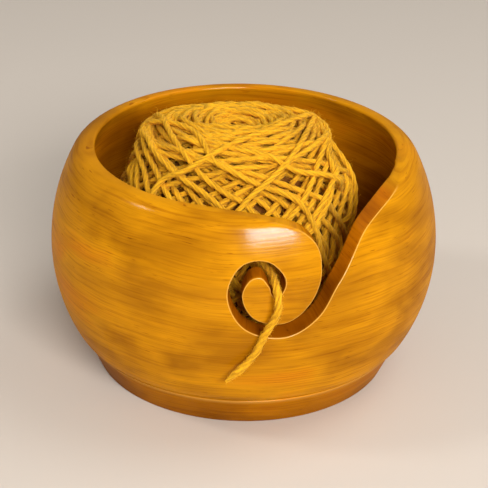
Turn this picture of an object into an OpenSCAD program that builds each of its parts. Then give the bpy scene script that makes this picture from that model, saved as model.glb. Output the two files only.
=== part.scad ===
// A turned wooden yarn bowl with a spiral yarn slot in its front wall, a wound ball of yarn inside it,
// and the ball's free end, which leaves through the blind end of the slot and hangs down the front.
// The bowl stands on z = 0, its turning axis is the Z axis, and the eye of the slot faces -Y.

/* [Bowl] */
// Widest diameter of the bowl, at its belly
bowl_d = 150; // [140:1:170]
// Height of the bowl, from the table to the top of the rim
bowl_h = 89; // [85:1:96]
// Height of the belly, where the bowl is widest
belly_z = 49; // [46:1:52]
// Radius of the wall's outside curve above the belly
shoulder_r = 78; // [75:1:84]
// Radius of the wall's outside curve below the belly
belly_r = 69; // [66:1:72]
// Radius of the round where the body turns in to the foot
heel_r = 15; // [12:1:18]
// Radius of the round on the outside of the rim
rim_r = 8; // [5:0.5:9]
// Radius of the round on the inside of the rim
lip_r = 1; // [0.5:0.25:1.5]
// How far the mouth stands in from the belly on each side, measured on the rim's inner edge
mouth_inset = 18; // [17:0.5:20]
// Thickness of the wall at the belly
wall_t = 9.5; // [8:0.5:11]
// Thickness of the floor
floor_t = 10; // [8:0.5:12]
// Radius of the round between the floor and the wall, inside
floor_r = 20; // [15:1:24]

/* [Foot] */
// Height of the foot
foot_h = 12; // [9:1:14]
// How far the body stands in from the belly on each side where it meets the foot
foot_inset = 12.5; // [11:0.5:14]
// How far the foot's upper edge stands out from the body there
foot_ledge = 0.5; // [0.25:0.25:2]
// How far the foot draws in on each side, from its upper edge down to the table
foot_taper = 5.25; // [2:0.25:8]
// Width of the ring that the foot stands on, round the shallow recess under it
foot_ring_w = 10.25; // [8:0.25:16]
// Depth of that recess
recess_t = 3; // [1:0.5:5]

/* [Yarn slot] */
// Width of the slot's mouth, measured along the wall at the rim
slot_mouth_w = 100; // [90:1:110]
// Width of the slot under the nose, where the yarn is drawn along it
slot_w = 5.5; // [5:0.25:6.5]
// Distance behind the bowl's axis of the upright line that the slot's walls point to
cut_focus = 60; // [30:5:90]

/* [Ball of yarn] */
// Diameter of the strand of yarn
strand_d = 3; // [2.5:0.1:3.2]
// Diameter of the ball over its outermost turns
ball_d = 93; // [86:1:96]
// Height of the surface that the outermost turns lie under, which they leave open at its two poles
ball_h = 93; // [86:1:95]
// How square the ball's side view is, from 2 for an ellipse upwards
ball_square = 3.2; // [2.8:0.1:3.4]
// How far the ball stands to the left of the bowl's axis
ball_left = 3; // [0:0.5:5]
// Free space between turns that cross
turn_gap = 0.7; // [0.6:0.1:1]
// Free space between the inner turns and the layer that crosses over them
core_gap = 1; // [0.9:0.1:1.4]
// Depth of the dimple on top of the ball
dimple_t = 7; // [4:0.5:9]
// Radius over which the dimple fades out
dimple_r = 13; // [9:1:15]
// Free space between the ball and the floor of the bowl
seat_gap = 0.3; // [0.2:0.1:0.6]

/* [Hidden] */

wood = "#d8901c";
yarn = "#e0a52c";
yarn_inside = "#b47a1c";

// Section of the wall: each side is two arcs that meet upright at the belly, with rounds at their ends
belly_x = bowl_d / 2;
outer_top_c = [belly_x - shoulder_r, belly_z];
outer_low_c = [belly_x - belly_r, belly_z];
inner_belly_x = belly_x - wall_t;
inner_low_r = belly_r - wall_t;
inner_in = mouth_inset - wall_t;
inner_top_r = (pow(inner_in, 2) + pow(bowl_h - belly_z, 2)) / (2 * inner_in);
inner_top_c = [inner_belly_x - inner_top_r, belly_z];
neck = [belly_x - foot_inset, foot_h];
foot_top = [neck.x + foot_ledge, foot_h];
foot_base = [foot_top.x - foot_taper, 0];
recess_x = foot_base.x - foot_ring_w;
heel_c = circles_meet(outer_low_c, belly_r - heel_r, neck, heel_r);
rim_c = touching(outer_top_c, shoulder_r - rim_r, bowl_h - rim_r);
lip_c = touching(inner_top_c, inner_top_r + lip_r, bowl_h - lip_r);
floor_c = touching(outer_low_c, inner_low_r - floor_r, floor_t + floor_r);
bowl_section = concat(
    [[recess_x, recess_t], [recess_x, 0], foot_base, foot_top],
    arc(heel_c, heel_r, slope(neck - heel_c), slope(heel_c - outer_low_c), 5),
    arc(outer_low_c, belly_r, slope(heel_c - outer_low_c), 0, 9),
    arc(outer_top_c, shoulder_r, 0, slope(rim_c - outer_top_c), 9),
    arc(rim_c, rim_r, slope(rim_c - outer_top_c), 90, 6),
    arc(lip_c, lip_r, 90, 180 + slope(lip_c - inner_top_c), 4),
    arc(inner_top_c, inner_top_r, slope(lip_c - inner_top_c), 0, 8),
    arc(outer_low_c, inner_low_r, 0, slope(floor_c - outer_low_c), 9),
    arc(floor_c, floor_r, slope(floor_c - outer_low_c), -90, 6),
    [[0, floor_t], [0, recess_t]]
);

// The slot's centre line, from above the rim to its blind end: distance along the belly to the right
// of the front, depth below the rim, and width of the slot there
strand_room = 0.6;
slot_end_w = strand_d + 2 * strand_room;
slot_line = [
    [32, -1, 1.3 * slot_mouth_w],
    [36.5, 2, 0.63 * slot_mouth_w],
    [33.5, 9, 0.235 * slot_mouth_w],
    [28, 23, slot_w + 2.5],
    [21, 34.5, slot_w + 0.5],
    [10.5, 40.5, slot_w],
    [-2, 37.5, slot_w - 0.5],
    [-7.5, 27.5, slot_w - 0.5],
    [-4, 19, slot_w],
    [3, 17.5, slot_w],
    [7.5, 22, slot_w + 1],
    [7.5, 25.5, slot_end_w],
];
slot_steps = 8;
slot_level_points = 2;
slot_end_steps = 5;
slot_end_sweep = 85;
slot_inside = 14;
slot_outside = 6;

// Ball: surfaces inside each other, each named by its depth under the outermost turns
ball_a = ball_d / 2;
ball_c = ball_h / 2;
upper_layer = strand_d / 2;
lower_layer = upper_layer + strand_d + turn_gap;
core_skin = lower_layer + strand_d / 2 + core_gap;
pit_room = 1.2;
pit_d = strand_d + 2 * pit_room;
pit_t = 6;
end_gap = 0.3;
start_rise = 1;

// Cross winding: each climb and each fall goes round by climb_turn, and the climbs lie 30 degrees apart
climbs = 12;
climb_turn = 285;
climb_tilt = 59;
climb_rings = 22;
crowding = 0.45;
tip_sharpness = 0.985;
layer_change = 12;
strand_sides = 6;

// Turns on the top of the ball, wound in towards the dimple
top_turns = 3;
top_turn_rings = 18;
top_start = 64;
top_end = 82;
top_entry = 10;
dive_turn_in = 0.45;
dive_drops = [0.6, 2.6];

// The strand's free end: it lies against the ball, crosses to the slot, bends over the blind end and
// hangs. Its first stretch keeps to the ball, the rest is given as distance to the right of the front,
// distance out from the belly, and height.
tail_on_ball = [[-23, -44.2, 70], [-17.5, -46.6, 70], [-12, -48.2, 69.8], [-6.5, -49.8, 69.3]];
tail_from_belly = [
    [-2, -22, 68.5], [2.2, -17.5, 67.7], [4.9, -12.5, 67.1], [6.4, -7.5, 66.6], [7, -3, 66.1],
    [7.4, 0.1, 64.9], [7.7, 2.4, 62.6], [7.6, 3.1, 59.5], [6.9, 2.9, 56.2], [5.6, 2.4, 53.2],
    [4.1, 2.2, 50.2], [2.8, 2, 47.2], [1.5, 1.9, 44], [0, 1.8, 40.8], [-2, 1.7, 37.8],
    [-4.4, 1.5, 34.8], [-7, 1.2, 32], [-10, 0.8, 28.8],
];
tail_route = concat(tail_on_ball, [for (p = tail_from_belly) [p.x, -belly_x - p.y, p.z]]);
tail_sides = 8;
tail_steps = 2;

function unit(v) = v / norm(v);

// From 0 to 1, easing in and out
function smooth(x) = let (t = min(max(x, 0), 1)) t * t * (3 - 2 * t);

function slope(v) = atan2(v.y, v.x);

// Points along an arc from one angle to another, without its first point
function arc(c, r, from, to, count) =
    [for (i = [1:count]) c + r * [cos(from + (to - from) * i / count), sin(from + (to - from) * i / count)]];

// The point at height level, to the right of c and at distance r from it
function touching(c, r, level) = [c.x + sqrt(pow(r, 2) - pow(level - c.y, 2)), level];

// The lower one of the two points at distance ra from a and rb from b
function circles_meet(a, ra, b, rb) =
    let (d = norm(b - a), e = unit(b - a), along = (d * d + ra * ra - rb * rb) / (2 * d))
    a + e * along + [-e.y, e.x] * sqrt(ra * ra - along * along);

// A smooth curve through a list of points of any dimension
function spline_at(p, i, t) =
    let (
        a = i > 0 ? p[i - 1] : 2 * p[0] - p[1],
        b = p[i],
        c = p[i + 1],
        d = i + 2 < len(p) ? p[i + 2] : 2 * p[i + 1] - p[i]
    )
    0.5 * (2 * b + (c - a) * t + (2 * a - 5 * b + 4 * c - d) * t * t + (3 * b - a - 3 * c + d) * t * t * t);

function spline(p, steps) = [
    for (i = [0:len(p) - 2], s = [0:steps - 1]) spline_at(p, i, s / steps),
    p[len(p) - 1],
];

// Bowl

// Point on the wall: distance along the belly, height, and how far inside (+) or outside (-) the belly
function wall_point(along, z, depth) =
    let (
        turn = along / belly_x * 180 / PI,
        on_belly = [belly_x * sin(turn), -belly_x * cos(turn)],
        inward = unit([0, cut_focus] - on_belly)
    )
    [on_belly.x + inward.x * depth, on_belly.y + inward.y * depth, z];

slot_run = spline(slot_line, slot_steps);
slot_last = slot_run[len(slot_run) - 1];
slot_heading = unit([slot_last.x, slot_last.y] - [slot_run[len(slot_run) - 2].x, slot_run[len(slot_run) - 2].y]);
slot_round = [
    for (i = [1:slot_end_steps])
        let (
            a = slot_end_sweep * i / slot_end_steps,
            c = [slot_last.x, slot_last.y] + slot_heading * slot_end_w / 2 * sin(a)
        )
        [c.x, c.y, slot_end_w * cos(a)]
];
slot_stations = concat(slot_run, slot_round);

// Direction of the slot at station i: the stations lie level across the mouth, and square to the line further on
function slot_dir(i) =
    let (
        n = len(slot_stations) - 1,
        a = slot_stations[max(i - 1, 0)],
        b = slot_stations[min(i + 1, n)],
        square_on = smooth(i / slot_steps - slot_level_points)
    )
    unit(unit([b.x - a.x, b.y - a.y]) * square_on + [0, 1] * (1 - square_on));

// The slot's edge at station i, on the side +1 or -1 of its centre line, at the given depth
function slot_edge(i, side, depth) =
    let (s = slot_stations[i], d = slot_dir(i), q = [s.x, s.y] + [d.y, -d.x] * side * s[2] / 2)
    wall_point(q.x, bowl_h - q.y, depth);

// The slot as a solid skinned over its stations, wide at the mouth and narrow round the eye
module slot_cutter() {
    n = len(slot_stations);
    points = [
        for (i = [0:n - 1])
            each [
                slot_edge(i, -1, -slot_outside),
                slot_edge(i, 1, -slot_outside),
                slot_edge(i, 1, slot_inside + wall_t),
                slot_edge(i, -1, slot_inside + wall_t),
            ]
    ];
    sides = [
        for (i = [0:n - 2], k = [0:3])
            let (a = 4 * i + k, b = 4 * i + (k + 1) % 4)
            each [[a, b, b + 4], [a, b + 4, a + 4]]
    ];
    last = 4 * (n - 1);
    ends = [[3, 2, 1], [3, 1, 0], [last, last + 1, last + 2], [last, last + 2, last + 3]];
    polyhedron(points = points, faces = concat(sides, ends), convexity = 8);
}

module bowl() {
    color(wood)
    difference() {
        rotate_extrude($fn = 180) polygon(bowl_section);
        slot_cutter();
    }
}

// Ball of yarn

// Distance from the ball's centre to the surface at a depth, seen at a tilt above the level plane
function ball_reach(tilt, depth) =
    pow(pow(abs(cos(tilt)) / (ball_a - depth), ball_square)
        + pow(abs(sin(tilt)) / (ball_c - depth), ball_square), -1 / ball_square);

function dimple(rho) = dimple_t * exp(-pow(rho / dimple_r, 2));

// Point of that surface as distance from the ball's own axis and height above the ball's centre
function ball_side(tilt, depth) =
    let (r = ball_reach(tilt, depth), rho = r * cos(tilt))
    [rho, r * sin(tilt) - (tilt > 0 ? dimple(rho) : 0)];

function ball_point(turn, tilt, depth) =
    let (p = ball_side(tilt, depth))
    [p.x * sin(turn), -p.x * cos(turn), p.y];

module yarn_core() {
    tilts = [for (i = [-30:30]) 3 * i];
    color(yarn_inside)
    translate(ball_centre)
    rotate_extrude($fn = 96)
    difference() {
        polygon([for (t = tilts) ball_side(t, core_skin)]);
        translate([0, pit_floor]) square([pit_d / 2, ball_c]);
    }
}

// From 0 to 1 along a climb, crowded towards its two tips
function climb_part(i) = i / climb_rings - crowding * sin(360 * i / climb_rings) / (2 * PI);

// Tilt along a climb: a steady slope with rounded tips
function climb_shape(part) =
    asin(tip_sharpness * sin(180 * (part - 0.5))) / asin(tip_sharpness);

// Depth of the strand: climbs lie in the upper layer, falls in the lower one, with the change at the tips
function climb_depth(part, rises) =
    let (
        reach = layer_change / climb_turn,
        near = min(part, 1 - part),
        over = 0.5 + 0.5 * smooth(near / reach)
    )
    rises ? lower_layer + (upper_layer - lower_layer) * over : upper_layer + (lower_layer - upper_layer) * over;

// Cross-wound turns, with the last climb left open so that it runs on over the top
cross_winding = [
    for (c = [0:2 * climbs - 2], i = [0:climb_rings - 1])
        let (part = climb_part(i), rises = c % 2 == 0, shape = climb_shape(part))
        if (!(c == 2 * climbs - 2 && (1 - part) * climb_turn < top_entry) && !(c == 0 && i < 2))
            ball_point((c + part) * climb_turn, climb_tilt * (rises ? shape : -shape), climb_depth(part, rises))
];

top_first_turn = (2 * climbs - 1) * climb_turn;
top_winding = [
    for (i = [0:top_turns * top_turn_rings])
        let (
            part = i / (top_turns * top_turn_rings),
            tilt = top_start + (top_end - top_start) * part,
            drop = smooth(i / 2)
        )
        ball_point(top_first_turn + part * top_turns * 360, tilt, upper_layer + (lower_layer - upper_layer) * drop)
];

// The first end stands square on the inner turns under the ball, the last one dives into the dimple's pit
start_turn = climb_part(1) * climb_turn;
start_end = [
    for (depth = [core_skin - end_gap, core_skin - end_gap - strand_d, upper_layer + start_rise])
        ball_point(start_turn, -climb_tilt, depth)
];
pit_floor = ball_side(90, core_skin).y - pit_t;
dive_top = top_winding[len(top_winding) - 1];
dive_end = [
    [dive_top.x * dive_turn_in, dive_top.y * dive_turn_in, dive_top.z - dive_drops[0]],
    [0, 0, dive_top.z - dive_drops[1]],
    [0, 0, pit_floor + end_gap + strand_d],
    [0, 0, pit_floor + end_gap],
];
winding_line = concat(start_end, cross_winding, top_winding, dive_end);

// The ball rests on its lowest turns
lowest_turn = min([for (p = winding_line) p.z]) - strand_d / 2;
ball_centre = [-ball_left, 0, floor_t + seat_gap - lowest_turn];

// Direction of a line at point i
function line_dir(p, i) = unit(p[min(i + 1, len(p) - 1)] - p[max(i - 1, 0)]);

// Frames carried along a line without twist, as a list of side vectors
function side_next(side, dir) = unit(side - dir * (side * dir));
function sides_along(p) =
    [for (i = 0, s = side_next([0.3, 0.2, 1], line_dir(p, 0)); i < len(p);
        i = i + 1, s = side_next(s, line_dir(p, min(i, len(p) - 1)))) s];

// One unbroken round tube along a line, closed at both ends
module tube(line, d, count) {
    side = sides_along(line);
    n = len(line);
    points = [
        for (i = [0:n - 1], k = [0:count - 1])
            let (a = 360 * k / count, w = cross(line_dir(line, i), side[i]))
            line[i] + (side[i] * cos(a) + w * sin(a)) * d / 2
    ];
    wall = [
        for (i = [0:n - 2], k = [0:count - 1])
            let (a = i * count + k, b = i * count + (k + 1) % count)
            each [[a, a + count, b + count], [a, b + count, b]]
    ];
    caps = [
        for (k = [1:count - 2])
            each [[0, k, k + 1], [(n - 1) * count, (n - 1) * count + k + 1, (n - 1) * count + k]]
    ];
    polyhedron(points = points, faces = concat(wall, caps), convexity = 12);
}

module yarn_winding() {
    color(yarn) translate(ball_centre) tube(winding_line, strand_d, strand_sides);
}

module yarn_tail() {
    color(yarn) tube(spline(tail_route, tail_steps), strand_d, tail_sides);
}

// Least distance between two straight stretches, measured on five points of each
function stretch_gap(a, b, c, d) =
    min([for (s = [0:0.25:1], t = [0:0.25:1]) norm(a + (b - a) * s - c - (d - c) * t)]);

// Least free space between stretches of a line that don't follow each other
function least_gap(p, d, skip, reach) =
    min([
        for (i = [0:len(p) - 2], j = [i + skip:1:len(p) - 2])
            if (norm(p[i] - p[j]) < reach) stretch_gap(p[i], p[i + 1], p[j], p[j + 1])
    ]) - d;

echo(loops_of_the_winding = (2 * climbs - 1) * climb_turn / 360 + top_turns, rings = len(winding_line));
echo(least_gap_of_the_winding_to_itself = least_gap(winding_line, strand_d, 6, 18));

bowl();
yarn_core();
yarn_winding();
yarn_tail();
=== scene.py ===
"""A turned wooden yarn bowl with a spiral yarn slot, and the wound ball of yarn that it holds."""

import math
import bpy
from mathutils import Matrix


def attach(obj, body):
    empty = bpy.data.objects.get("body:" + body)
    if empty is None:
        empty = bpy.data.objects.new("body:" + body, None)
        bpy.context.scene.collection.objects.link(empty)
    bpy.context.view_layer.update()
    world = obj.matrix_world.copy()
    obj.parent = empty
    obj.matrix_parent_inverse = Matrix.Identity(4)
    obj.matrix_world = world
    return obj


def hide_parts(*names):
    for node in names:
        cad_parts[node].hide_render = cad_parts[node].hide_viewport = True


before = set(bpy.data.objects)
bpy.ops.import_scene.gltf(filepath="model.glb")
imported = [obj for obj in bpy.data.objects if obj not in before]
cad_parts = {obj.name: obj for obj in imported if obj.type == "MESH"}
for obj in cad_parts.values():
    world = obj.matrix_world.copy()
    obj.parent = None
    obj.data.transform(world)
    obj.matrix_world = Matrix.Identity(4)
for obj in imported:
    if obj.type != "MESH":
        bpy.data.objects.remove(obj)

from types import SimpleNamespace

import bmesh
import bpy
import numpy as np
from mathutils import Matrix, Vector, kdtree
from mathutils.geometry import delaunay_2d_cdt

scene = bpy.context.scene
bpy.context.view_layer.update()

# Camera: a long lens, held a little to the left of the slot's eye and looking down into the bowl.
# Its place was found from the rim's and the foot's ellipses in the photograph.
camera_data = bpy.data.cameras.new("camera")
camera_data.sensor_width = 36
camera_data.lens = 125.46
camera_data.clip_start = 0.05
camera_data.clip_end = 20
camera = bpy.data.objects.new("camera", camera_data)
scene.collection.objects.link(camera)
camera_place = Vector((-0.03851, -0.59557, 0.34879))
camera_right = Vector((0.99830, -0.05472, 0.02002))
camera_up = Vector((0.00699, 0.45355, 0.89120))
camera_back = Vector((-0.05785, -0.88955, 0.45317))
camera.matrix_world = Matrix.Translation(camera_place) @ Matrix(
    (camera_right, camera_up, camera_back)).transposed().to_4x4()
scene.camera = camera

# Yarn: one soft mustard wool strand, 3 mm thick, of four loosely twisted plies. Every stretch of it,
# in the ball and in the free end, is a centre line that is spun into plied yarn with loose fibres.
STRAND = 0.003
PLIES = 4
PLY_PITCH = 0.019
GROOVE = 0.12                # depth between plies, as a share of the strand's radius
FRAY_LENGTH = 0.006          # a strand's cut end thins over this length
FRAY_THIN = 0.55
FIBRE_THICKNESS = 0.000045
WOOL_LIGHT, WOOL_DARK = (0.87, 0.445, 0.012), (0.32, 0.105, 0.0015)


def feed(node, inputs):
    """Sets a node's inputs, each to a value or from another node's output."""
    for label, value in inputs.items():
        if isinstance(value, bpy.types.NodeSocket):
            node.id_data.links.new(value, node.inputs[label])
        else:
            node.inputs[label].default_value = value


def add_node(tree, kind, inputs=None, **settings):
    """A new node in tree. Its settings come first, because they can change its inputs."""
    node = tree.nodes.new(kind)
    for label, value in settings.items():
        setattr(node, label, value)
    feed(node, inputs or {})
    return node


def reckon(tree, operation, *values):
    """The result of a sum in tree, on values or other nodes' outputs."""
    return add_node(tree, "ShaderNodeMath", dict(enumerate(values)), operation=operation).outputs[0]


def reckon_vector(tree, operation, a, b):
    return add_node(tree, "ShaderNodeVectorMath", {0: a, 1: b}, operation=operation).outputs[0]


def mark_of(tree, label, output="Fac"):
    """What a piece's mesh says of each point under label."""
    return add_node(tree, "ShaderNodeAttribute", attribute_name=label).outputs[output]


def noise(tree, vector, scale=1, detail=2, warp=0, output="Fac"):
    return add_node(tree, "ShaderNodeTexNoise", {
        "Vector": vector, "Scale": scale, "Detail": detail, "Distortion": warp}).outputs[output]


def mixed(tree, share, a, b, mode="MIX"):
    """From colour a as far as share says to b, or to their product."""
    a, b = ((*colour, 1) if isinstance(colour, tuple) else colour for colour in (a, b))
    return add_node(tree, "ShaderNodeMix", {"Factor": share, "A": a, "B": b},
                    data_type="RGBA", blend_type=mode).outputs["Result"]


def bumped(tree, height, strength, distance):
    """The surface's direction, tilted by the slopes of height."""
    return add_node(tree, "ShaderNodeBump", {
        "Height": height, "Strength": strength, "Distance": distance}).outputs["Normal"]


def new_material(name, roughness, specular):
    """A material with its node tree and its shader."""
    material = bpy.data.materials.new(name)
    material.use_nodes = True
    shader = material.node_tree.nodes["Principled BSDF"]
    feed(shader, {"Roughness": roughness, "Specular IOR Level": specular})
    return material, material.node_tree, shader


def yarn_material(name, light, dark):
    """Matt wool: light flecks run along each ply, painted shade darkens it between plies, and it has a
    soft sheen.
    """
    material, tree, shader = new_material(name, roughness=0.9, specular=0.08)
    place = add_node(tree, "ShaderNodeTexCoord").outputs["Object"]

    # Flecks are drawn out along the plies
    across = add_node(tree, "ShaderNodeVectorMath", {
        0: mark_of(tree, "section", "Vector"), "Scale": 2.6}, operation="SCALE")
    down = add_node(tree, "ShaderNodeCombineXYZ", {
        "Z": reckon(tree, "MULTIPLY", mark_of(tree, "along"), 420)})
    fleck = noise(tree, reckon_vector(tree, "ADD", across.outputs[0], down.outputs[0]), detail=3)
    hair = noise(tree, place, scale=2400)
    patch = noise(tree, place, scale=90)

    tone = reckon(tree, "MULTIPLY_ADD", fleck, 1.5, -0.6)
    # The ridge mask paints shade into the grooves between plies
    for part, weight in ((mark_of(tree, "ridge_for_groove_shade"), 0.4), (hair, 0.3), (patch, 0.5)):
        tone = reckon(tree, "MULTIPLY_ADD", part, weight, tone)
    height = reckon(tree, "MULTIPLY_ADD", fleck, 1.3, hair)
    feed(shader, {"Base Color": mixed(tree, tone, dark, light),
                  "Normal": bumped(tree, height, strength=0.7, distance=0.0004),
                  "Sheen Weight": 0.12, "Sheen Roughness": 0.4, "Sheen Tint": (1.0, 0.75, 0.28, 1)})
    return material


def open_tree(name, start, sizes, result):
    """A tree from start to result, by named sizes and a material, and what it is given."""
    tree = bpy.data.node_groups.new(name, "GeometryNodeTree")
    for label, kind in ((start, "Geometry"), *sizes, ("Material", "Material")):
        tree.interface.new_socket(label, in_out="INPUT", socket_type="NodeSocket" + kind)
    tree.interface.new_socket(result, in_out="OUTPUT", socket_type="NodeSocketGeometry")
    return tree, add_node(tree, "NodeGroupInput").outputs


def close_tree(tree, shape, material):
    """Ends a tree: all that it made becomes one mesh in one material."""
    whole = add_node(tree, "GeometryNodeRealizeInstances", {"Geometry": shape})
    paint = add_node(tree, "GeometryNodeSetMaterial", {
        "Geometry": whole.outputs["Geometry"], "Material": material})
    add_node(tree, "NodeGroupOutput", {0: paint.outputs["Geometry"]})
    return tree


def strand_tree():
    """Spins centre lines into plied yarn, which swells and thins a little and frays at its end."""
    tree, given = open_tree("plied_yarn", "Lines", (
        ("Strand radius", "Float"), ("Twist pitch", "Float"), ("Plies", "Float"), ("Groove", "Float"),
        ("Rings per pitch", "Float"), ("Sides", "Int")), "Strand")

    def store(geometry, label, value, kind="FLOAT"):
        return add_node(tree, "GeometryNodeStoreNamedAttribute", {
            "Geometry": geometry, "Name": label, "Value": value}, data_type=kind).outputs["Geometry"]

    # Centre line: even rings, each turned a little further than the one before
    apart = reckon(tree, "DIVIDE", given["Twist pitch"], given["Rings per pitch"])
    rows = add_node(tree, "GeometryNodeResampleCurve", {
        "Curve": given["Lines"], "Length": apart}, mode="LENGTH")
    along = add_node(tree, "GeometryNodeSplineParameter").outputs["Length"]
    turns = reckon(tree, "DIVIDE", along, given["Twist pitch"])
    twist = add_node(tree, "GeometryNodeSetCurveTilt", {
        "Curve": store(rows.outputs["Curve"], "along", along),
        "Tilt": reckon(tree, "MULTIPLY", turns, 2 * math.pi)})

    # Thickness at each ring
    swell = add_node(tree, "ShaderNodeTexNoise", {"W": along, "Scale": 160}, noise_dimensions="1D")
    swell = reckon(tree, "ADD", reckon(tree, "MULTIPLY", swell.outputs["Fac"], 0.3), 0.82)
    radius = reckon(tree, "MULTIPLY", given["Strand radius"], swell)
    length = add_node(tree, "GeometryNodeSplineLength").outputs["Length"]
    left = reckon(tree, "DIVIDE", reckon(tree, "SUBTRACT", length, along), FRAY_LENGTH)
    frayed = reckon(tree, "MULTIPLY", reckon(tree, "MINIMUM", left, 1), 1 - FRAY_THIN)
    radius = reckon(tree, "MULTIPLY", radius, reckon(tree, "ADD", frayed, FRAY_THIN))

    # Section: a circle drawn in between the plies
    ring = add_node(tree, "GeometryNodeCurvePrimitiveCircle", {
        "Resolution": given["Sides"], "Radius": 1})
    spot = add_node(tree, "GeometryNodeInputPosition").outputs[0]
    split = add_node(tree, "ShaderNodeSeparateXYZ", {0: spot})
    angle = reckon(tree, "ARCTAN2", split.outputs["Y"], split.outputs["X"])
    crest = reckon(tree, "COSINE", reckon(tree, "MULTIPLY", angle, given["Plies"]))
    profile = store(ring.outputs["Curve"], "section", spot, "FLOAT_VECTOR")
    # Ridge mask: 1 on each ply's crest, 0 in the grooves, for the painted groove shade
    profile = store(profile, "ridge_for_groove_shade", reckon(tree, "ADD", reckon(tree, "MULTIPLY", crest, 0.5), 0.5))
    dip = reckon(tree, "MULTIPLY", reckon(tree, "SUBTRACT", crest, 1), given["Groove"])
    drawn_in = add_node(tree, "ShaderNodeVectorMath", {0: spot, "Scale": reckon(tree, "ADD", dip, 1)},
                        operation="SCALE")
    lobes = add_node(tree, "GeometryNodeSetPosition", {
        "Geometry": profile, "Position": drawn_in.outputs[0]})

    skin = add_node(tree, "GeometryNodeCurveToMesh", {
        "Curve": twist.outputs["Curve"], "Profile Curve": lobes.outputs["Geometry"],
        "Scale": radius, "Fill Caps": True})
    soft = add_node(tree, "GeometryNodeSetShadeSmooth", {"Geometry": skin.outputs["Mesh"]})
    return close_tree(tree, soft.outputs["Geometry"], given["Material"])


def fibre_tree():
    """Stands short loose fibres on a strand: thin bent hairs that leave it and lie back over it."""
    tree, given = open_tree("loose_fibres", "Strand", (
        ("Density", "Float"), ("Length", "Float"), ("Thickness", "Float"), ("Seed", "Int")), "Fibres")
    roots = add_node(tree, "GeometryNodeDistributePointsOnFaces", {
        "Mesh": given["Strand"], "Density": given["Density"], "Seed": given["Seed"]})

    # One hair, a metre long and scaled down: it rises, bends over and comes back near the strand
    bend = add_node(tree, "GeometryNodeCurveQuadraticBezier", {
        "Resolution": 3, "Start": (0, 0, -0.08), "Middle": (0.5, 0.15, 0.65),
        "End": (1.0, -0.2, 0.18)})
    stem = add_node(tree, "GeometryNodeCurvePrimitiveCircle", {"Resolution": 3, "Radius": 1})
    hair = add_node(tree, "GeometryNodeCurveToMesh", {
        "Curve": bend.outputs["Curve"], "Profile Curve": stem.outputs["Curve"],
        "Scale": reckon(tree, "DIVIDE", given["Thickness"], given["Length"]), "Fill Caps": True})

    # Each stands its own way and has its own length
    spin = add_node(tree, "FunctionNodeRandomValue", {
        "Min": (-0.4, -0.4, 0), "Max": (0.4, 0.4, 2 * math.pi), "Seed": given["Seed"]},
        data_type="FLOAT_VECTOR")
    aim = add_node(tree, "FunctionNodeRotateRotation", {
        "Rotation": roots.outputs["Rotation"], "Rotate By": spin.outputs["Value"]},
        rotation_space="LOCAL")
    vary = add_node(tree, "FunctionNodeRandomValue", {"Min": 0.45, "Max": 1.0}, data_type="FLOAT")
    stand = add_node(tree, "GeometryNodeInstanceOnPoints", {
        "Points": roots.outputs["Points"], "Instance": hair.outputs["Mesh"],
        "Rotation": aim.outputs["Rotation"],
        "Scale": reckon(tree, "MULTIPLY", vary.outputs["Value"], given["Length"])})
    return close_tree(tree, stand.outputs["Instances"], given["Material"])


def grown(name, source, tree, values):
    """A plain mesh piece from what a tree makes of a curve or mesh."""
    guide = bpy.data.objects.new(name + "_guide", source)
    scene.collection.objects.link(guide)
    step = guide.modifiers.new("make", "NODES")
    step.node_group = tree
    for socket in tree.interface.items_tree:
        if socket.in_out == "INPUT" and socket.name in values:
            step[socket.identifier] = values[socket.name]
    bpy.context.view_layer.update()
    seen = bpy.context.evaluated_depsgraph_get()
    mesh = bpy.data.meshes.new_from_object(guide.evaluated_get(seen), depsgraph=seen)
    bpy.data.objects.remove(guide)
    mesh.name = name
    piece = bpy.data.objects.new(name, mesh)
    scene.collection.objects.link(piece)
    return piece


def spin_strand(name, lines, rings, sides, radius=STRAND / 2):
    """A piece of yarn along lines of points, with so many rings to a turn of its twist and so many
    sides round it."""
    curve = bpy.data.curves.new(name + "_line", "CURVE")
    curve.dimensions = "3D"
    for line in lines:
        spline = curve.splines.new("POLY")
        spline.points.add(len(line) - 1)
        spline.points.foreach_set("co", np.column_stack([line, np.ones(len(line))]).ravel())
    return grown(name, curve, plied_yarn, {
        "Strand radius": radius, "Twist pitch": PLY_PITCH, "Plies": float(PLIES), "Groove": GROOVE,
        "Rings per pitch": float(rings), "Sides": sides, "Material": yarn})


def fluff(name, strand, density, length, seed):
    """The loose fibres on a strand, as a piece of their own."""
    return grown(name, strand.data, loose_fibres, {
        "Density": density, "Length": length, "Thickness": FIBRE_THICKNESS, "Seed": seed,
        "Material": yarn})


def spline_through(points, steps):
    """A smooth curve through points, with steps from each to the next."""
    p = np.array(points, float)
    p = np.vstack([2 * p[0] - p[1], p, 2 * p[-1] - p[-2]])
    out = []
    for i in range(1, len(p) - 2):
        a, b, c, d = p[i - 1:i + 3]
        for s in range(steps):
            t = s / steps
            out.append(0.5 * (2 * b + (c - a) * t + (2 * a - 5 * b + 4 * c - d) * t * t
                              + (3 * b - a - 3 * c + d) * t ** 3))
    out.append(p[-2])
    return np.array(out)


yarn = yarn_material("mustard_wool", WOOL_LIGHT, WOOL_DARK)
plied_yarn = strand_tree()
loose_fibres = fibre_tree()

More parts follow.
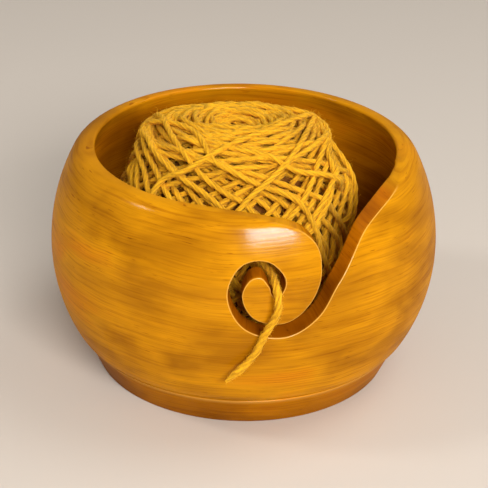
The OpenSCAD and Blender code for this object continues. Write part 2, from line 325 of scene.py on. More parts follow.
# Free end of the yarn: it leaves the ball, crosses to the blind end of the slot, bends over the
# wood there and hangs down the front, leaning on the bowl. It is limp and ends cut off.
tail_route = np.array([
    (-23.5, -45.6, 70), (-17.8, -48, 70), (-12.2, -49.6, 69.8), (-6.6, -51, 69.3), (-2, -53.6, 68.5),
    (2.2, -57.5, 67.7), (4.9, -62.5, 67.1), (6.4, -67.5, 66.6), (7, -72, 66.1), (7.4, -75.1, 64.9),
    (7.7, -77.4, 62.6), (7.6, -78.1, 59.5), (6.9, -77.9, 56.2), (5.6, -77.4, 53.2), (4.1, -77.2, 50.2),
    (2.8, -77, 47.2), (1.5, -76.9, 44), (0, -76.8, 40.8), (-2, -76.7, 37.8), (-4.4, -76.5, 34.8),
    (-7, -76.2, 32), (-10, -75.8, 28.8)]) / 1000
tail_line = spline_through(tail_route, 4)
tail = spin_strand("yarn_free_end", [tail_line], rings=26, sides=16)
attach(tail, "bowl")
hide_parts("yarn_tail")
tail_fluff = fluff("free_end_fibres", tail, density=2.2e6, length=0.0013, seed=3)
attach(tail_fluff, "bowl")

# Bowl: turned from one blank of golden orange hardwood, foot and all, and varnished. Its wall is a
# section of arcs swung round the axis, and the yarn slot is sawn through it and eased at its edges.
# Sizes are in millimetres, and the finished mesh is scaled to metres.
BOWL_R, BOWL_H, BELLY_Z = 75.0, 89.0, 49.0             # belly's radius, whole height, belly's height
SHOULDER_R, BELLY_R, HEEL_R = 78.0, 69.0, 15.0         # arcs of the outside, from the top down
RIM_R, LIP_R, MOUTH_R = 8.0, 1.0, 57.0                 # rim's outer and inner rounds, and mouth
WALL_T, FLOOR_T, FLOOR_R = 9.5, 10.0, 20.0             # wall, floor, and the round between them
FOOT_H, FOOT_TOP_R, FOOT_BASE_R = 12.0, 63.0, 57.75    # foot, tapered towards the table
NECK_R, RECESS_R, RECESS_T = 62.5, 47.5, 3.0           # neck over the foot, recess under it
EASE, LEDGE_EASE = 0.5, 0.25                           # rounds at the foot's corners and its ledge
ROW, ARC_STEP = 1.6, 9                                 # furthest that the section's points lie apart


def at_level(centre, r, level):
    """Where the circle round centre reaches a height, on its outer side."""
    return np.array([centre[0] + math.sqrt(r * r - (level - centre[1]) ** 2), level])


def slope(v):
    """A direction's angle in degrees, upwards from outwards."""
    return math.degrees(math.atan2(v[1], v[0]))


def arc(centre, r, start, end):
    """Points along an arc, after its first."""
    count = max(3, round(abs(math.radians(end - start)) * r / ROW), round(abs(end - start) / ARC_STEP))
    turn = np.radians(np.linspace(start, end, count + 1)[1:])
    return np.column_stack([centre[0] + r * np.cos(turn), centre[1] + r * np.sin(turn)])


def straight(a, b):
    """Points along a straight stretch, after its first."""
    count = max(1, round(float(np.linalg.norm(np.subtract(b, a))) / ROW))
    return [np.add(a, np.subtract(b, a) * i / count) for i in range(1, count + 1)]


def bent(a, corner, b, t):
    """The point a share t of the way from a to b on a curve that leans towards corner."""
    return a * (1 - t) ** 2 + corner * 2 * t * (1 - t) + b * t * t


def eased(a, corner, b, r):
    """A small round in place of a corner, between its two neighbours."""
    a, corner, b = (np.array(v, float) for v in (a, corner, b))
    u, v = (a - corner) / np.linalg.norm(a - corner), (b - corner) / np.linalg.norm(b - corner)
    return [bent(corner + u * r, corner, corner + v * r, t) for t in np.linspace(0, 1, 5)]


# Centres of the arcs: each touches the next, and the inner wall follows the outer one
top_c, low_c = np.array([BOWL_R - SHOULDER_R, BELLY_Z]), np.array([BOWL_R - BELLY_R, BELLY_Z])
inner_r = BOWL_R - WALL_T
inner_low_r = BELLY_R - WALL_T
inset = inner_r - MOUTH_R
inner_top_r = (inset ** 2 + (BOWL_H - BELLY_Z) ** 2) / (2 * inset)
inner_top_c = np.array([inner_r - inner_top_r, BELLY_Z])
neck = np.array([NECK_R, FOOT_H])
reach = np.linalg.norm(neck - low_c)
forward = (neck - low_c) / reach
to_heel = (reach ** 2 + (BELLY_R - HEEL_R) ** 2 - HEEL_R ** 2) / (2 * reach)
aside = math.sqrt((BELLY_R - HEEL_R) ** 2 - to_heel ** 2)
heel_c = low_c + forward * to_heel + np.array([-forward[1], forward[0]]) * aside
rim_c = at_level(top_c, SHOULDER_R - RIM_R, BOWL_H - RIM_R)
lip_c = at_level(inner_top_c, inner_top_r + LIP_R, BOWL_H - LIP_R)
floor_c = at_level(low_c, inner_low_r - FLOOR_R, FLOOR_T + FLOOR_R)
heel_out, rim_out = slope(heel_c - low_c), slope(rim_c - top_c)
lip_out, floor_out = slope(lip_c - inner_top_c), slope(floor_c - low_c)

# The section, from the middle of the recess round the foot, up the outside and down the inside
middle, recess, recess_edge = (0, RECESS_T), (RECESS_R, RECESS_T), (RECESS_R, 0)
foot_base, foot_top = (FOOT_BASE_R, 0), (FOOT_TOP_R, FOOT_H)
ledge = eased(foot_base, foot_top, neck, LEDGE_EASE)
profile = [np.array(middle, float)]
profile += straight(profile[-1], (RECESS_R - EASE, RECESS_T))
profile += eased(middle, recess, recess_edge, EASE)[1:]
profile += eased(recess, recess_edge, foot_base, EASE)
profile += straight(profile[-1], (FOOT_BASE_R - EASE, 0))
profile += eased(recess_edge, foot_base, foot_top, EASE)[1:]
profile += straight(profile[-1], ledge[0]) + ledge[1:] + [neck]
ledge_row, outer_start = len(profile) - 3, len(profile) - 1
profile += list(arc(heel_c, HEEL_R, slope(neck - heel_c), heel_out))
profile += list(arc(low_c, BELLY_R, heel_out, 0))
profile += list(arc(top_c, SHOULDER_R, 0, rim_out))
profile += list(arc(rim_c, RIM_R, rim_out, 90))
rim_row = len(profile) - 1
profile += straight(profile[-1], (lip_c[0], BOWL_H))
profile += list(arc(lip_c, LIP_R, 90, 180 + lip_out))
profile += list(arc(inner_top_c, inner_top_r, lip_out, 0))
profile += list(arc(low_c, inner_low_r, 0, floor_out))
inner_end = len(profile) - 1
profile += list(arc(floor_c, FLOOR_R, floor_out, -90))
profile += straight(profile[-1], (0, FLOOR_T))
profile = np.array(profile)


def run_along(points):
    """How far along a line of points each lies."""
    return np.concatenate([[0], np.cumsum(np.linalg.norm(np.diff(points, axis=0), axis=1))])


profile_s = run_along(profile)
rim_s, ledge_s = profile_s[rim_row], profile_s[ledge_row]

# The slot's centre line: distance along the belly to the right of the front, depth below the rim,
# and width there. It is wide at the mouth, runs under the nose and curls round to its blind end.
SLOT_W, MOUTH_W, SLOT_END_W = 5.5, 100.0, 4.2
CUT_FOCUS = 60.0             # the saw's line always points at this far behind the bowl's axis
SLOT_STEPS = 24
EDGE_POINTS = 620
slot_line = [
    (32, -1, 1.3 * MOUTH_W), (36.5, 2, 0.63 * MOUTH_W), (33.5, 9, 0.235 * MOUTH_W),
    (28, 23, SLOT_W + 2.5), (21, 34.5, SLOT_W + 0.5), (10.5, 40.5, SLOT_W),
    (-2, 37.5, SLOT_W - 0.5), (-7.5, 27.5, SLOT_W - 0.5), (-4, 19, SLOT_W),
    (3, 17.5, SLOT_W), (7.5, 22, SLOT_W + 1), (7.5, 25.5, SLOT_END_W)]
run = spline_through(slot_line, SLOT_STEPS)
heading = (run[-1] - run[-2])[:2]
heading /= np.linalg.norm(heading)
tip = [[*(run[-1][:2] + heading * SLOT_END_W / 2 * math.sin(a)), SLOT_END_W * math.cos(a)]
       for a in np.radians(np.linspace(0, 89, 14)[1:])]
stations = np.vstack([run, tip])


def smooth_step(share):
    return share * share * (3 - 2 * share)


# Its two edges, square to the centre line, but level with one another where it leaves the rim
way = np.gradient(stations[:, :2], axis=0)
way /= np.linalg.norm(way, axis=1)[:, None]
square = smooth_step(np.clip(np.arange(len(stations)) / SLOT_STEPS - 2, 0, 1))[:, None]
way = way * square + np.array([0, 1]) * (1 - square)
way /= np.linalg.norm(way, axis=1)[:, None]
side = np.column_stack([way[:, 1], -way[:, 0]]) * stations[:, 2:] / 2
edge = np.vstack([stations[:, :2] - side, (stations[:, :2] + side)[::-1]])
edge[:, 1] = BOWL_H - edge[:, 1]


def on_wall(across, z, inner):
    """Where the saw's line at a distance along the belly and a height meets the wall: turn and s."""
    rows = slice(rim_row, inner_end + 1) if inner else slice(outer_start, rim_row + 1)
    zs, ss, rs = profile[rows, 1], profile_s[rows], profile[rows, 0]
    if inner:
        zs, ss, rs = zs[::-1], ss[::-1], rs[::-1]
    s, r = np.interp(z, zs, ss), np.interp(z, zs, rs)
    turn = across / BOWL_R
    bx, by = BOWL_R * np.sin(turn), -BOWL_R * np.cos(turn)
    dx, dy = -bx, CUT_FOCUS - by
    size = np.hypot(dx, dy)
    dx, dy = dx / size, dy / size
    half = bx * dx + by * dy
    t = -half - np.sqrt(half ** 2 - (BOWL_R ** 2 - r ** 2))
    return np.arctan2(bx + dx * t, -(by + dy * t)), s


def on_profile(turn, s):
    """Points of the turned wall: turn from the front to the right, s along the section."""
    r, z = np.interp(s, profile_s, profile[:, 0]), np.interp(s, profile_s, profile[:, 1])
    return np.column_stack([r * np.sin(turn), -r * np.cos(turn), z])


def at_rim(a, b):
    """Where the slot's edge crosses the rim's height between two of its points."""
    return a + (b - a) * (BOWL_H - a[1]) / (b[1] - a[1])


# The part of the slot's edge that lies below the rim, in even steps over the outside and inside
below = np.where(edge[:, 1] < BOWL_H)[0]
first, last = below[0], below[-1]
start, end = at_rim(edge[first - 1], edge[first]), at_rim(edge[last], edge[last + 1])
cut = np.array([start, *edge[first:last + 1], end])
cut[[0, -1], 1] = BOWL_H
FINE_STEPS, INNER_WEIGHT = 4001, 0.7
run = run_along(cut)
fine = np.linspace(0, run[-1], FINE_STEPS)
fine = np.column_stack([np.interp(fine, run, cut[:, k]) for k in (0, 1)])
space = (run_along(on_profile(*on_wall(*fine.T, False)))
         + INNER_WEIGHT * run_along(on_profile(*on_wall(*fine.T, True))))
even = np.linspace(0, space[-1], EDGE_POINTS)
cut = np.column_stack([np.interp(even, space, fine[:, k]) for k in (0, 1)])
for _ in range(10):
    cut[1:-1] = (cut[:-2] + 2 * cut[1:-1] + cut[2:]) / 4

# Both edges on the wall, as (turn, s) and in space, by whether the side is the inner one. They meet
# where the slot runs out over the rim.
sheets = {inner: np.column_stack(on_wall(*cut.T, inner)) for inner in (False, True)}
for k in (0, -1):
    meeting = (sheets[False][k, 0] + sheets[True][k, 0]) / 2
    sheets[False][k] = sheets[True][k] = [meeting, rim_s]
spots = {inner: on_profile(*sheets[inner].T) for inner in sheets}
wall_way = spots[True] - spots[False]
wall_size = np.linalg.norm(wall_way, axis=1)
wall_way /= np.maximum(wall_size, 1e-6)[:, None]

# The edges' rounds grow wide towards the rim, over the nose on one side and the flank on the other
EDGE_ROUND, RIM_ROUND, NOSE_FADE, FLANK_FADE = 0.5, 4.3, 46.0, 30.0
MOST_ROUND, MOST_WALL = 1.3, 0.45      # at most these shares of the round and the wall are taken
PROBE = 0.02
from_rim = run_along(spots[False])
fade = np.clip(1 - np.minimum(from_rim / NOSE_FADE, (from_rim[-1] - from_rim) / FLANK_FADE), 0, 1)
edge_round = EDGE_ROUND + (RIM_ROUND - EDGE_ROUND) * smooth_step(fade)


def eased_edge(inner):
    """An edge's round: where it starts on the face, as chart (turn, s) and in space, where it ends
    on the sawn wall, and the way along the face that leads off from the slot."""
    turn, s = sheets[inner].T
    r = np.interp(s, profile_s, profile[:, 0])
    dt, ds = np.gradient(turn) * r, np.gradient(s)
    off = np.column_stack([-ds, dt]) / np.hypot(dt, ds)[:, None] * (1 if inner else -1)
    face_way = (on_profile(turn + off[:, 0] * PROBE / r, s + off[:, 1] * PROBE) - spots[inner]) / PROBE
    into = wall_way * (-1 if inner else 1)
    cos_open = np.clip((face_way * into).sum(1), -0.999, 0.999)
    back = edge_round * np.sqrt((1 + cos_open) / (1 - cos_open))
    back = np.minimum(np.minimum(back, MOST_ROUND * edge_round), MOST_WALL * wall_size)
    back[[0, -1]] = 0
    chart = np.column_stack([turn + off[:, 0] * back / r, s + off[:, 1] * back])
    return SimpleNamespace(chart=chart, face=on_profile(*chart.T), off=off, r=r,
                           wall=spots[inner] + into * back[:, None])


outer_edge, inner_edge = eased_edge(False), eased_edge(True)
slot_loop = np.vstack([outer_edge.chart, inner_edge.chart[-2:0:-1]])

# The mesh: a grid of columns round the bowl, but for a box round the slot, which a patch fills
COLUMNS = 288
BOX_MARGIN = (0.05, 5)       # in radians and millimetres
CHART = 66.0                 # millimetres to a radian in the patch's flat chart
BESIDE = ((0.7, 1), (1.6, 2))          # rows beside the slot: how far off, and every how many-th point
CLEAR = 2.3                  # the grid's points in the patch keep this far from the slot
INSIDE_SHADE_FROM, INSIDE_SHADE_OVER = 3, 7        # millimetres past the rim where the painted shade inside begins, and over which it deepens
LEDGE_HIGHLIGHT, LEDGE_NEAR = 0.45, 0.3     # how strong the painted highlight on the ledge's edge is, and how near to it
columns = np.linspace(-math.pi, math.pi, COLUMNS + 1)[:-1]
box_low, box_high = slot_loop.min(0) - BOX_MARGIN, slot_loop.max(0) + BOX_MARGIN
left, right = np.searchsorted(columns, box_low[0]) - 1, np.searchsorted(columns, box_high[0])
low, high = np.searchsorted(profile_s, box_low[1]) - 1, np.searchsorted(profile_s, box_high[1])


def wall_vert(bm, turn, s):
    """A point of the wall, marked with painted shade within the bowl, the base's darker tone and
    shade, and a painted highlight on the ledge.
    """
    vert = bm.verts.new(on_profile(np.array([turn]), np.array([s]))[0])
    marks = bm.verts.layers.float
    # Painted shade within the bowl, growing from just below the rim
    vert[marks["inside"]] = min(1.0, max(0.0, (s - rim_s - INSIDE_SHADE_FROM) / INSIDE_SHADE_OVER))
    # The foot is darker: partly its own tone, partly painted shade, as it faces away from the light
    vert[marks["foot"]] = float(s < ledge_s + 0.1)
    # Painted highlight along the foot's ledge, where light catches its edge
    vert[marks["crest"]] = LEDGE_HIGHLIGHT * float(abs(s - ledge_s) < LEDGE_NEAR)
    return vert


def turned_wall(bm):
    """The section swung round the axis, as rows of points and the faces between them."""
    grid = []
    for i, s in enumerate(profile_s):
        if profile[i, 0] < 1e-6:
            grid.append([wall_vert(bm, 0.0, s)] * COLUMNS)
            continue
        grid.append([None if low < i < high and left < j < right else wall_vert(bm, columns[j], s)
                     for j in range(COLUMNS)])
    for i in range(len(grid) - 1):
        for j in range(COLUMNS):
            if low <= i < high and left <= j < right:
                continue
            k = (j + 1) % COLUMNS
            corners = dict.fromkeys([grid[i][j], grid[i][k], grid[i + 1][k], grid[i + 1][j]])
            bm.faces.new(list(corners))
    return grid


def in_slot(q):
    """Whether a point of the flat chart lies in the slot."""
    a, b = slot_chart, np.roll(slot_chart, -1, axis=0)
    hit = (a[:, 1] > q[1]) != (b[:, 1] > q[1])
    x = a[hit, 0] + (q[1] - a[hit, 1]) * (b[hit, 0] - a[hit, 0]) / (b[hit, 1] - a[hit, 1])
    return bool((x > q[0]).sum() % 2)


slot_chart = slot_loop * (CHART, 1)
near_slot = kdtree.KDTree(len(slot_chart))
for k, spot in enumerate(slot_chart):
    near_slot.insert((*spot, 0), k)
near_slot.balance()


def patch_points():
    """Points to fill the patch with: rows beside the slot, and the grid's own further off."""
    found = []

    def offer(turn, s, clear):
        q = (turn * CHART, s)
        if near_slot.find((*q, 0))[2] > clear and not in_slot(q):
            found.append(q)

    for far, step in BESIDE:
        for edge in (outer_edge, inner_edge):
            for k in range(3, EDGE_POINTS - 3, step):
                offer(edge.chart[k, 0] + edge.off[k, 0] * far / edge.r[k],
                      edge.chart[k, 1] + edge.off[k, 1] * far, 0.8 * far)
    for i in range(low + 1, high):
        for j in range(left + 1, right):
            offer(columns[j], profile_s[i], CLEAR)
    return found


def slot_patch(bm, grid):
    """The wall between the grid and the slot. Returns the points round the slot, as in slot_loop."""
    border = [(low, j) for j in range(left, right)] + [(i, right) for i in range(low, high)]
    border += [(high, j) for j in range(right, left, -1)]
    border += [(i, left) for i in range(high, low, -1)]
    known = [grid[i][j] for i, j in border]
    count, loop_count = len(border), len(slot_chart)
    points = [(columns[j] * CHART, profile_s[i]) for i, j in border]
    points += [*slot_chart, *patch_points()]
    edges = [(k, (k + 1) % count) for k in range(count)]
    edges += [(count + k, count + (k + 1) % loop_count) for k in range(loop_count)]
    flat, _, triangles, origins = delaunay_2d_cdt(
        [Vector(p) for p in points], edges, [], 0, 1e-5, True)[:4]
    verts, loop_verts = [], [None] * loop_count
    for q, came_from in zip(flat, origins):
        fixed = [known[i] for i in came_from if i < count]
        verts.append(fixed[0] if fixed else wall_vert(bm, q[0] / CHART, q[1]))
        for i in came_from:
            if count <= i < count + loop_count:
                loop_verts[i - count] = verts[-1]
    for triangle in triangles:
        if not in_slot(sum((flat[i] for i in triangle), Vector((0, 0))) / 3):
            bm.faces.new([verts[i] for i in triangle])
    return loop_verts


def slot_walls(bm, loop_verts):
    """The slot's own walls: an eased edge, the sawn wall and the other eased edge."""
    outer_verts = loop_verts[:EDGE_POINTS]
    inner_verts = [outer_verts[0], *loop_verts[:EDGE_POINTS - 1:-1], outer_verts[-1]]
    bend, wall = np.linspace(0, 1, 6), np.linspace(0, 1, 8)
    rows = [bent(outer_edge.face, spots[False], outer_edge.wall, t) for t in bend[1:]]
    rows += [outer_edge.wall + (inner_edge.wall - outer_edge.wall) * t for t in wall[1:]]
    rows += [bent(inner_edge.wall, spots[True], inner_edge.face, t) for t in bend[1:-1]]

    # How bare from the saw each row is, and how much painted highlight lies on its crest
    sawn = [0, 0, 0, 0.3, 0.8] + [1] * 7 + [0.8, 0.3, 0, 0]
    crest = [0.5, 1, 0.5, 0, 0] + [0] * 7 + [0, 0.3, 0.7, 0.4]
    crisp = np.clip(1.5 - fade * 4, 0, 1)
    marks = bm.verts.layers.float

    def strip(before, after):
        for k in range(EDGE_POINTS - 1):
            corners = list(dict.fromkeys([before[k], before[k + 1], after[k + 1], after[k]]))
            if len(corners) > 2:
                bm.faces.new(corners)

    before = outer_verts
    for row, sawn_share, highlight_share in zip(rows, sawn, crest):
        after = [outer_verts[0], *(bm.verts.new(spot) for spot in row[1:-1]), outer_verts[-1]]
        for vert, share in zip(after[1:-1], crisp[1:-1]):
            vert[marks["sawn"]] = sawn_share * share
            vert[marks["crest"]] = highlight_share * share
        strip(before, after)
        before = after
    strip(before, inner_verts)


def wood_mesh():
    bm = bmesh.new()
    for label in ("inside", "sawn", "crest", "foot"):
        bm.verts.layers.float.new(label)
    slot_walls(bm, slot_patch(bm, turned_wall(bm)))
    bmesh.ops.remove_doubles(bm, verts=bm.verts, dist=1e-4)
    bmesh.ops.recalc_face_normals(bm, faces=bm.faces)
    bmesh.ops.scale(bm, vec=(0.001, 0.001, 0.001), verts=bm.verts)
    for f in bm.faces:
        f.smooth = True
    mesh = bpy.data.meshes.new("bowl_turned")
    bm.to_mesh(mesh)
    bm.free()
    return mesh


def drawn_out(vector, scales, detail, warp=0, output="Fac"):
    """Noise in the wood, stretched to its own scale across, back and up."""
    return noise(grain, reckon_vector(grain, "MULTIPLY", vector, scales), 1, detail, warp, output)


def ramp(tree, value, *stops):
    """The colour at value between stops of (place, colour)."""
    node = add_node(tree, "ShaderNodeValToRGB", {0: value})
    while len(node.color_ramp.elements) < len(stops):
        node.color_ramp.elements.new(0.5)
    for element, (place_at, colour) in zip(node.color_ramp.elements, stops):
        element.position = place_at
        element.color = (*colour, 1)
    return node.outputs["Color"]


bowl = bpy.data.objects.new("bowl_turned", wood_mesh())
scene.collection.objects.link(bowl)

# Growth layers lie nearly level through the blank and wander a little, so that they show as fine
# streaks of constant height on the turned wall
wood, grain, varnish = new_material("varnished_golden_wood", roughness=0.55, specular=0.0)
place = add_node(grain, "ShaderNodeTexCoord").outputs["Object"]
wander = reckon_vector(grain, "MULTIPLY", drawn_out(place, (20, 20, 20), 2, 0, "Color"), (0, 0, 0.006))
layers = reckon_vector(grain, "ADD", place, wander)
golden = ramp(grain, drawn_out(place, (24, 24, 60), 3, 0.4),
              (0.32, (0.36, 0.135, 0.002)), (0.46, (0.49, 0.195, 0.0025)),
              (0.58, (0.60, 0.25, 0.003)), (0.74, (0.61, 0.205, 0.0025)))
band = ramp(grain, drawn_out(layers, (10, 10, 260), 4, 0.2),
            (0.34, (0.82, 0.74, 0.62)), (0.56, (1.04, 1.04, 1.04)))
streak = drawn_out(layers, (42, 42, 1700), 5, 0.1)
thin_streak = ramp(grain, streak,
                   (0.30, (0.70, 0.58, 0.45)), (0.5, (1, 1, 1)), (0.72, (1.12, 1.12, 1.1)))
dash = ramp(grain, drawn_out(layers, (150, 150, 2600), 1),
            (0.70, (1, 1, 1)), (0.76, (0.5, 0.34, 0.25)))
colour = golden
for share, figure in ((0.55, band), (0.75, thin_streak), (0.8, dash)):
    colour = mixed(grain, share, colour, figure, "MULTIPLY")
# Painted shade darkens the bowl's inside, and with the foot's own darker tone the foot; the sawn end
# grain is darker and redder of itself
for label, tint in (
        ("inside", (0.85, 0.7, 0.55)), ("foot", (0.68, 0.58, 0.42)), ("sawn", (0.8, 0.56, 0.5))):
    colour = mixed(grain, mark_of(grain, label), colour, tint, "MULTIPLY")
# Painted highlight: the slot's eased edges and the foot's ledge are painted paler along their crests
colour = mixed(grain, mark_of(grain, "crest"), colour, (0.72, 0.37, 0.06))
wavy = bumped(grain, streak, strength=0.35, distance=0.0001)
feed(varnish, {"Base Color": colour, "Normal": wavy, "Coat Weight": 0.2, "Coat Roughness": 0.15,
               "Coat IOR": 1.42, "Coat Normal": wavy})
bowl.data.materials.append(wood)
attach(bowl, "bowl")
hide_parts("bowl")

# Ball of yarn: wound on a winder. The first turns pass close by the poles and later ones lean over
# more and more, so its top shows round turns about a dimple and its sides are crossed like a net.
# The last few wraps lie as the photograph shows them. Every turn rests on those wound before it.
BALL_C = np.array([-3.6, 0.0, 53.6])                   # sizes of the ball are in millimetres too
BALL_A, BALL_H, BALL_N = 48.1, 48.0, 2.95              # half width, half height, squareness
DIMPLES = ((4.6, 27), (3.6, 7))                        # depth and radius, one inside the other
LEAN_BACK = math.radians(6)
POLE = np.array([0, math.sin(LEAN_BACK), math.cos(LEAN_BACK)])
BALL_STRAND = 0.0024         # in metres: wound tight, yarn is thinner than in its free end
PRESS, STEP = 1.8, 1.4       # least distance between crossing turns, and between a turn's points
BED_DEPTH, HEART_DEPTH = 8.5, 9.3
OUTLINE_DEPTH, LEAST_DEPTH = 1.2, 0.9
DIVE, DIVE_POINTS = 5, 12    # how deep, and over how many points, a short stretch's ends go under
STRAY, SWAY, MOST_LEAN = 1.6, 2.6, 87  # in degrees: how far a winder's turns stray, and lean
BIT, OUTERMOST = 200, 97     # points laid at a time, and the percentile that makes the outline
FUZZ_DENSITY, FUZZ_LENGTH, FUZZ_SEED = 2.0e5, 0.0026, 5
dice = np.random.default_rng(7)


def ball_reach(n, depth):
    """Distance from the ball's centre, along directions n, to depth under its outline."""
    flat = np.hypot(n[:, 0], n[:, 1])
    reach = ((flat / (BALL_A - depth)) ** BALL_N
             + (np.abs(n[:, 2]) / (BALL_H - depth)) ** BALL_N) ** (-1 / BALL_N)
    off = BALL_A * np.sqrt(np.clip(1 - (n @ POLE) ** 2, 0, 1))
    for deep, wide in DIMPLES:
        reach = reach - deep * np.clip(1 - (off / wide) ** 2, 0, 1) ** 2
    return reach


def ways(turn, tilt):
    """Directions from (turn, tilt) in radians: turn from the front to the right, tilt upwards."""
    return np.column_stack([np.cos(tilt) * np.sin(turn), -np.cos(tilt) * np.cos(turn), np.sin(tilt)])


def unit(v):
    return v / np.linalg.norm(v, axis=-1, keepdims=True)


def evenly(n):
    """The same run of directions, one every STEP millimetres."""
    run = run_along(n) * BALL_A
    at = np.linspace(0, run[-1], round(run[-1] / STEP))
    return unit(np.column_stack([np.interp(at, run, n[:, k]) for k in range(3)]))


def winder(turns, leans, shift, flat, start):
    """A run of turns: each leans a little less than the one before and lies shift degrees on."""
    t = np.linspace(0, turns * 2 * math.pi, turns * 900)
    knots = np.arange(2 * turns + 1) / 2
    lean = np.interp(knots, (0, turns), leans) + dice.uniform(-STRAY, STRAY, len(knots))
    lean = np.radians(np.interp(t / (2 * math.pi), knots, np.minimum(lean, MOST_LEAN)))
    sway = np.radians(np.interp(t / (2 * math.pi), knots, dice.uniform(-SWAY, SWAY, len(knots))))
    swing = np.cos(t)
    tilt = np.arctan(np.tan(lean) * np.sign(swing) * np.abs(swing) ** flat)
    n = ways(math.radians(start) + t * (1 + shift / 360) + sway, tilt)
    c, s = math.cos(LEAN_BACK), math.sin(LEAN_BACK)
    return evenly(np.column_stack([n[:, 0], c * n[:, 1] + s * n[:, 2], c * n[:, 2] - s * n[:, 1]]))


def onward(a, b, angles):
    """Directions that go on past b, round the great circle from a, by angles in radians."""
    axis = unit(np.cross(a, b))
    return [b * math.cos(angle) + np.cross(axis, b) * math.sin(angle) for angle in angles]


def wrap(marks):
    """A closed wrap through marks, given as (turn, tilt) in degrees, and back round the far side."""
    seen = ways(*np.radians(np.array(marks, float)).T)
    gap = math.pi - math.acos(float(seen[0] @ seen[-1]))
    fill = onward(seen[0], seen[-1], np.linspace(0, gap, max(2, round(gap / 0.35)) + 1)[1:-1])
    half = np.vstack([seen, fill])
    ring = np.roll(np.vstack([half, -half]), -(len(half) + len(seen)), axis=0)
    return evenly(unit(spline_through(np.vstack([ring[-1], ring, ring[:2]]), 12)[12:-12]))


def stretch(marks, on=0.45):
    """A short stretch through marks that runs on a little at both ends, to dive under other turns."""
    seen = ways(*np.radians(np.array(marks, float)).T)
    before, after = onward(seen[1], seen[0], (on / 2, on)), onward(seen[-2], seen[-1], (on / 2, on))
    return evenly(unit(spline_through(np.vstack([before[::-1], seen, after]), 12)))


laid = []


def lay(n):
    """Distances at which a stretch rests on the bed and on all that was wound before, held taut."""
    need = ball_reach(n, BED_DEPTH)
    if laid:
        under = np.vstack(laid)
        along = n.astype(np.float32) @ under.T
        gap = PRESS ** 2 - ((under ** 2).sum(1)[None, :] - along ** 2)
        rest = np.where((gap > 0) & (along > 0), along + np.sqrt(np.maximum(gap, 0)), 0).max(1)
        need = np.maximum(need, rest)
    h = need
    for _ in range(20):
        p = np.pad(h, 2, mode="edge")
        h = np.maximum(need, (p[:-4] + p[1:-3] + p[2:-2] + p[3:-1] + p[4:]) / 5)
    laid.append((n * h[:, None]).astype(np.float32))
    return h


def wound(n):
    """A whole run laid down bit by bit, so that it rests on its own earlier turns as well."""
    h = np.concatenate([lay(some) for some in np.array_split(n, max(1, len(n) // BIT))])
    for _ in range(2):
        h = np.convolve(np.pad(h, 1, mode="edge"), (0.25, 0.5, 0.25), "valid")
    return h


short_stretches = [
    [(114.5, 47.1), (102, 40.8), (92.8, 32.9), (85.5, 20.6)],
    [(112.6, 46.3), (74.6, 44.8), (60.3, 36.4), (44.1, 26.8)],
    [(70.7, 39.1), (50.8, 33.5), (39.4, 26.6), (32.1, 20.8)],
    [(63.8, 46.9), (42, 38.7), (31.3, 32), (24.8, 27.7)],
    [(8.5, 58.1), (23.5, 53), (35.3, 46.1), (48.2, 41.2)],
]
last_wraps = [
    [(-107.4, 39.8), (-85, 41), (-66, 38), (-53.7, 33)],
    [(-117.3, 45.5), (-89.3, 46.3), (-62.3, 43.3), (-46.6, 37.9)],
    [(-83.3, 49), (-60.2, 47.5), (-36.7, 43), (-23.1, 39.6), (-10.9, 33.8)],
    [(-105.5, 55.6), (-63.6, 57.6), (-27.5, 47.6), (-9.9, 40.2), (3.6, 33.7)],
    [(-66.1, 65.3), (-38.7, 63), (-17.6, 52.1), (-2.1, 47.4), (11.5, 42.7), (28, 34.6)],
    [(117.4, 48.1), (63.7, 57.1), (31.2, 50.1), (14.4, 43.2), (1.2, 35.1)],
    [(116.6, 47.9), (99, 60.7), (36.6, 70.3), (-7.9, 61.9), (-26.2, 51.1), (-35.4, 44.4), (-46.1, 38)],
]
runs = [winder(100, (86, 54), 360 * 13 / 100, 0.62, 0), winder(34, (54, 47), 360 * 5 / 34, 0.85, 20)]
heights = [wound(n) for n in runs]
for n in map(stretch, short_stretches):
    from_end = np.minimum(np.arange(len(n)), np.arange(len(n))[::-1])
    runs.append(n)
    heights.append(wound(n) - DIVE * np.clip(1 - from_end / DIVE_POINTS, 0, 1) ** 2)
for n in map(wrap, last_wraps):
    runs.append(n)
    heights.append(wound(n))


def from_pole(n):
    return np.degrees(np.arccos(np.clip(n @ POLE, -1, 1)))


# Drawn in or out, by its distance from the pole, until its outermost strands lie on the outline
all_n = np.vstack(runs)
full, polar = np.concatenate(heights) / ball_reach(all_n, OUTLINE_DEPTH), from_pole(all_n)
bands = np.arange(0, 181, 5)
most = np.array([np.percentile(full[np.abs(polar - b) < 5], OUTERMOST) for b in bands])
most = np.convolve(np.pad(most, 1, mode="edge"), (0.25, 0.5, 0.25), "valid")
lines = []
for n, h in zip(runs, heights):
    h = np.minimum(h / np.interp(from_pole(n), bands, most), ball_reach(n, LEAST_DEPTH))
    lines.append((n * h[:, None] + BALL_C) / 1000)

deep, shallow = lines[:2]
deep_mid, shallow_mid = len(deep) // 2, len(shallow) // 2
for name, some, rings, sides, fuzzy in (
        ("yarn_winding_1", [deep[:deep_mid + 1]], 13, 8, False),
        ("yarn_winding_2", [deep[deep_mid:]], 13, 8, False),
        ("yarn_winding_3", [shallow[:shallow_mid + 1]], 17, 12, True),
        ("yarn_winding_4", [shallow[shallow_mid:]], 17, 12, True),
        ("yarn_last_wraps", lines[2:], 20, 16, True)):
    coil = spin_strand(name, some, rings, sides, BALL_STRAND / 2)
    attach(coil, "yarn_ball")
    if name == "yarn_last_wraps":
        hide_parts("yarn_winding")
    if fuzzy:
        hairs = fluff(name + "_fibres", coil, FUZZ_DENSITY, FUZZ_LENGTH, FUZZ_SEED)
        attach(hairs, "yarn_ball")
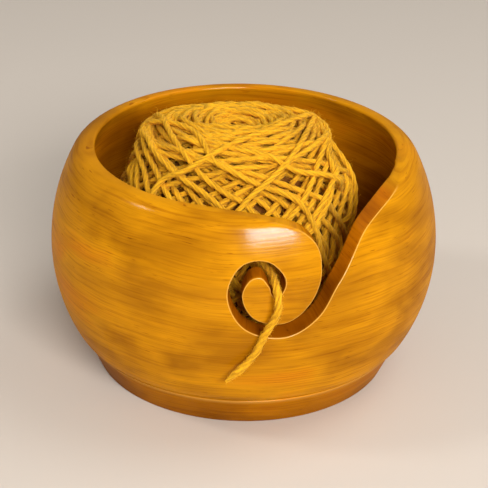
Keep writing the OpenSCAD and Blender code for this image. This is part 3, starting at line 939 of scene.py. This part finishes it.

# Heart of the ball: the same yarn's innermost turns, of which only glimpses show between the outer
# ones, painted dark as their shade. It is one rounded body that follows the ball's outline from
# inside.
bm = bmesh.new()
bmesh.ops.create_uvsphere(bm, u_segments=64, v_segments=32, radius=1)
for v in bm.verts:
    n = np.array(v.co)[None, :]
    v.co = Vector((n[0] * ball_reach(n, HEART_DEPTH)[0] + BALL_C) / 1000)
for f in bm.faces:
    f.smooth = True
heart_mesh = bpy.data.meshes.new("yarn_heart")
bm.to_mesh(heart_mesh)
bm.free()
# Painted shade: the heart's wool is the yarn's own colour made much darker
heart_mesh.materials.append(yarn_material("shaded_wool", (0.20, 0.07, 0.002), (0.10, 0.03, 0.001)))
heart = bpy.data.objects.new("yarn_heart", heart_mesh)
scene.collection.objects.link(heart)
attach(heart, "yarn_ball")
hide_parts("yarn_core")

# Table: a plain pale cream top, larger than the view, on which the bowl stands. It has no gloss, so
# that it shows only the bowl's soft shadow.
TABLE = 6
table_mesh = bpy.data.meshes.new("table_top")
table_corners = [(-TABLE, -TABLE, 0), (TABLE, -TABLE, 0), (TABLE, TABLE, 0), (-TABLE, TABLE, 0)]
table_mesh.from_pydata(table_corners, [], [(0, 1, 2, 3)])
table = bpy.data.objects.new("table_top", table_mesh)
scene.collection.objects.link(table)
pale_table, _, table_shader = new_material("pale_table", roughness=0.9, specular=0.0)
feed(table_shader, {"Base Color": (0.62, 0.56, 0.49, 1)})
table_mesh.materials.append(pale_table)

# Light: a plain pale room, a window in front whose reflection lies on the nose of the slot, a soft
# lamp above on the right, and a small one on the left that glints on the shoulder.
ROOM_LIGHT, ROOM_SEEN = 0.34, 0.28     # the room's light, and how much brighter the camera sees it
world = bpy.data.worlds.new("pale_room")
scene.world = world
world.use_nodes = True
seen_directly = add_node(world.node_tree, "ShaderNodeLightPath").outputs["Is Camera Ray"]
feed(world.node_tree.nodes["Background"], {
    "Color": (1, 0.95, 0.9, 1),
    "Strength": reckon(world.node_tree, "MULTIPLY_ADD", seen_directly, ROOM_SEEN, ROOM_LIGHT)})


def area_lamp(name, at, aim, size, power, colour=(1, 1, 1)):
    data = bpy.data.lights.new(name, "AREA")
    data.shape = "RECTANGLE"
    data.size, data.size_y = size
    data.energy = power
    data.color = colour
    lamp = bpy.data.objects.new(name, data)
    scene.collection.objects.link(lamp)
    lamp.location = at
    lamp.rotation_euler = (Vector(aim) - Vector(at)).to_track_quat("-Z", "Y").to_euler()
    return lamp


window = ((0.27, -1.10, 0.66), (0, -0.06, 0.08), (0.60, 0.31))
area_lamp("window_light", *window, 17.5, (1, 0.97, 0.96))
sky_in_window = area_lamp("window_glint", *window, 46, (0.25, 0.8, 1))
sky_in_window.visible_diffuse = False
area_lamp("room_light", (0.55, 0.1, 0.95), (0, 0, 0.08), (0.6, 0.6), 3.6)
area_lamp("shoulder_light", (-0.78, -0.06, 0.82), (-0.04, -0.05, 0.09), (0.18, 0.14), 2.3)

scene.view_settings.view_transform = "Standard"
bpy.context.view_layer.update()
